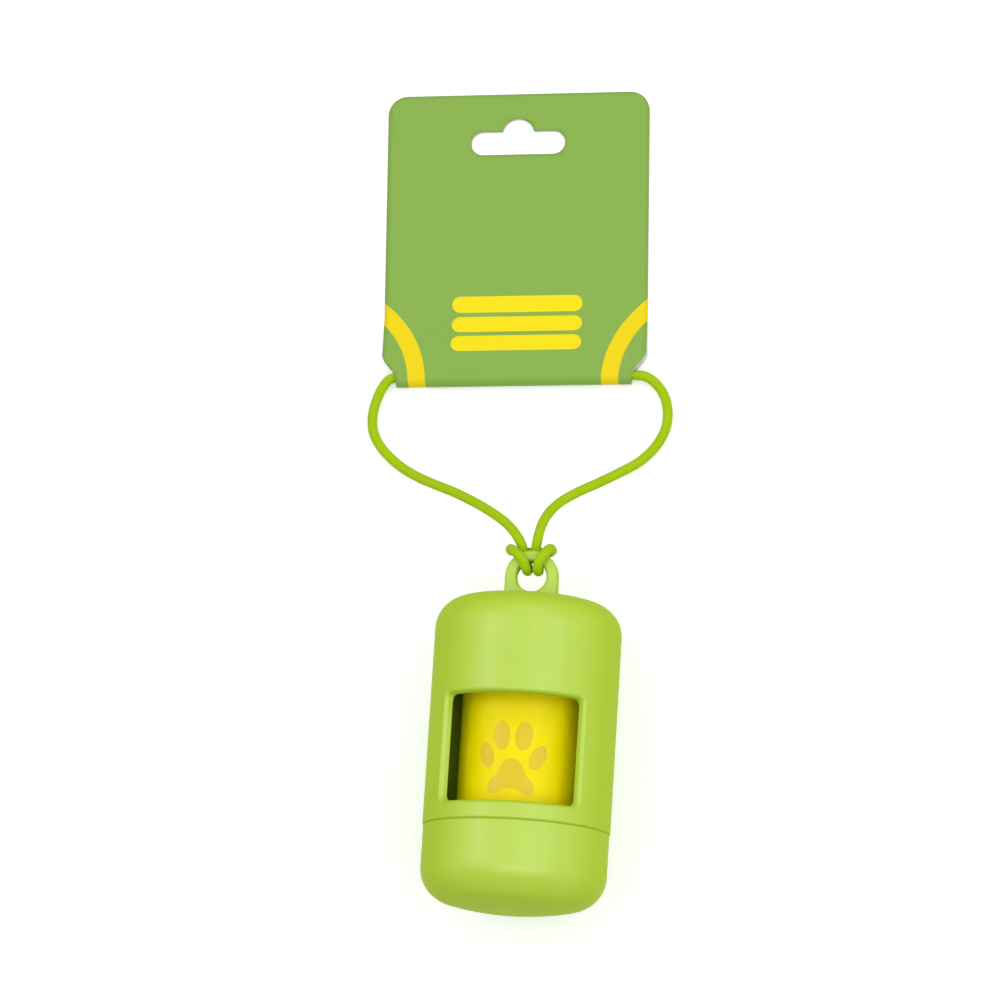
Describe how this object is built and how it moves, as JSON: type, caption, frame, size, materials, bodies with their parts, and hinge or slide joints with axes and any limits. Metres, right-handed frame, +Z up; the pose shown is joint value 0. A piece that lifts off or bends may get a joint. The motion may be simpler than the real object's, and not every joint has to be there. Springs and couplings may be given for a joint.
{
  "type": "dog poop bag dispenser",
  "caption": "Round capsule dispenser for rolled dog waste bags, with a window, a screw cap, an elastic carry loop and a folded header card.",
  "frame": {"origin": "centre of the bottom of the dispenser's box as it lies on its back, without the cord, its sleeve and the card", "axes": "+Y along the dispenser's axis towards the eye, +Z up through the window, +X to the right of the window"},
  "size_m": [0.0778, 0.2143, 0.046],
  "materials": {
    "housing_plastic": "lime green injection-moulded plastic, satin gloss",
    "cap_plastic": "lime green injection-moulded plastic, satin gloss",
    "core_board": "brown wound paperboard",
    "bag_film": "thin yellow polythene film, soft sheen, printed with a plain paw figure",
    "cord_elastic": "olive-lime braided cover over a rubber core",
    "ferrule_metal": "crimped aluminium tube",
    "card_board": "green printed cardboard, satin varnish"
  },
  "bodies": {
    "housing": {"housing": "housing_plastic", "cord_loop": "cord_elastic", "cord_ferrule": "ferrule_metal"},
    "core": {"roll_core": "core_board"},
    "cap": {"end_cap": "cap_plastic"},
    "roll": {"bag_01": "bag_film", "bag_02": "bag_film", "bag_03": "bag_film", "bag_04": "bag_film", "bag_05": "bag_film", "bag_06": "bag_film", "bag_07": "bag_film", "bag_08": "bag_film", "bag_09": "bag_film", "bag_10": "bag_film", "bag_11": "bag_film", "bag_12": "bag_film", "bag_13": "bag_film", "bag_14": "bag_film", "bag_15": "bag_film"},
    "card": {"header_card": "card_board"}
  },
  "joints": [
    {"name": "refill_draw", "type": "slide", "parent": "housing", "child": "core", "axis": [0, -1, 0], "range_m": [0, 0.075]},
    {"name": "cap_turn", "type": "hinge", "parent": "core", "child": "cap", "pos_m": [0, -0.0245, 0.023], "axis": [0, -1, 0], "range_deg": [0, 360]},
    {"name": "roll_spin", "type": "hinge", "parent": "core", "child": "roll", "pos_m": [0, -0.0057, 0.023], "axis": [0, 1, 0], "continuous": true},
    {"name": "card_swing", "type": "hinge", "parent": "housing", "child": "card", "pos_m": [-0.0108, 0.0934, 0.0023], "axis": [0.9989, 0.0471, 0], "range_deg": [0, 120]}
  ]
}
